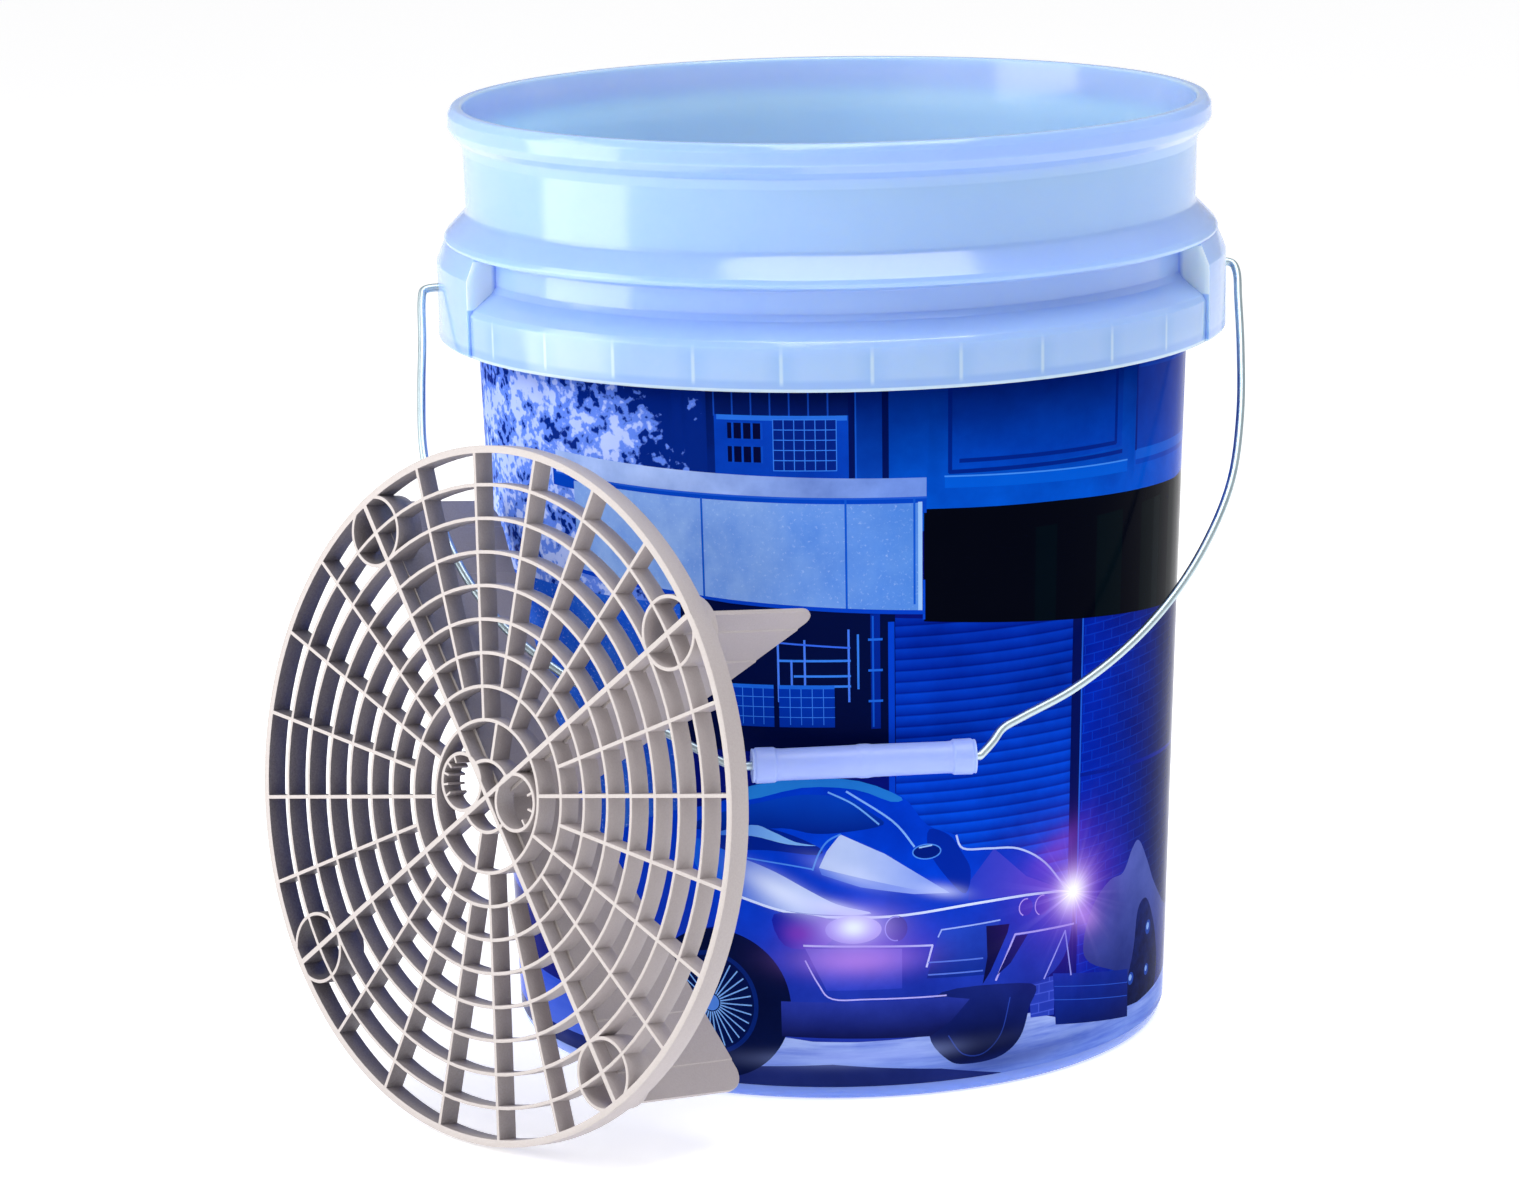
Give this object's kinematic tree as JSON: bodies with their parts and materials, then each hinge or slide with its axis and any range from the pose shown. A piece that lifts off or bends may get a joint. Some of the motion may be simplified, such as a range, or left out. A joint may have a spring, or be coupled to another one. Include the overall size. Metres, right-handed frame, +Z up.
{
  "type": "wash bucket",
  "caption": "Tapered plastic wash bucket with a ribbed collar, a printed sleeve, a swinging wire bail with a turning grip, and a leaning dirt guard grille with fins.",
  "frame": {"origin": "middle of the underside of the bucket's base, on its flat centre pad", "axes": "+Z up, +X along the bail's pivot axis, -Y towards the side that the bail rests on"},
  "size_m": [0.3982, 0.4039, 0.373],
  "materials": {
    "bucket_plastic": "translucent pale blue, glossy",
    "label_film": "printed cobalt blue film, glossy",
    "zinc_wire": "bright zinc",
    "grip_plastic": "pale violet blue, satin",
    "guard_plastic": "warm light grey, satin"
  },
  "bodies": {
    "bucket": {"bucket_shell": "bucket_plastic", "label_sleeve": "label_film"},
    "bail": {"bail_wire": "zinc_wire"},
    "grip": {"bail_grip": "grip_plastic"},
    "guard": {"guard_grille": "guard_plastic", "guard_fins": "guard_plastic"}
  },
  "joints": [
    {"name": "bail_swing", "type": "hinge", "parent": "bucket", "child": "bail", "pos_m": [0, 0, 0.302], "axis": [-1, 0, 0], "range_deg": [0, 277]},
    {"name": "grip_spin", "type": "hinge", "parent": "bail", "child": "grip", "pos_m": [-0.0075, -0.14445, 0.13873], "axis": [1, 0, 0], "continuous": true},
    {"name": "guard_slide", "type": "slide", "parent": "bucket", "child": "guard", "axis": [-0.6157, -0.788, 0], "range_m": [0, 0.56]}
  ],
  "couplings": [
    {"joint": "guard_slide", "follows": "bail_swing", "m_per_rad": 0.115}
  ]
}
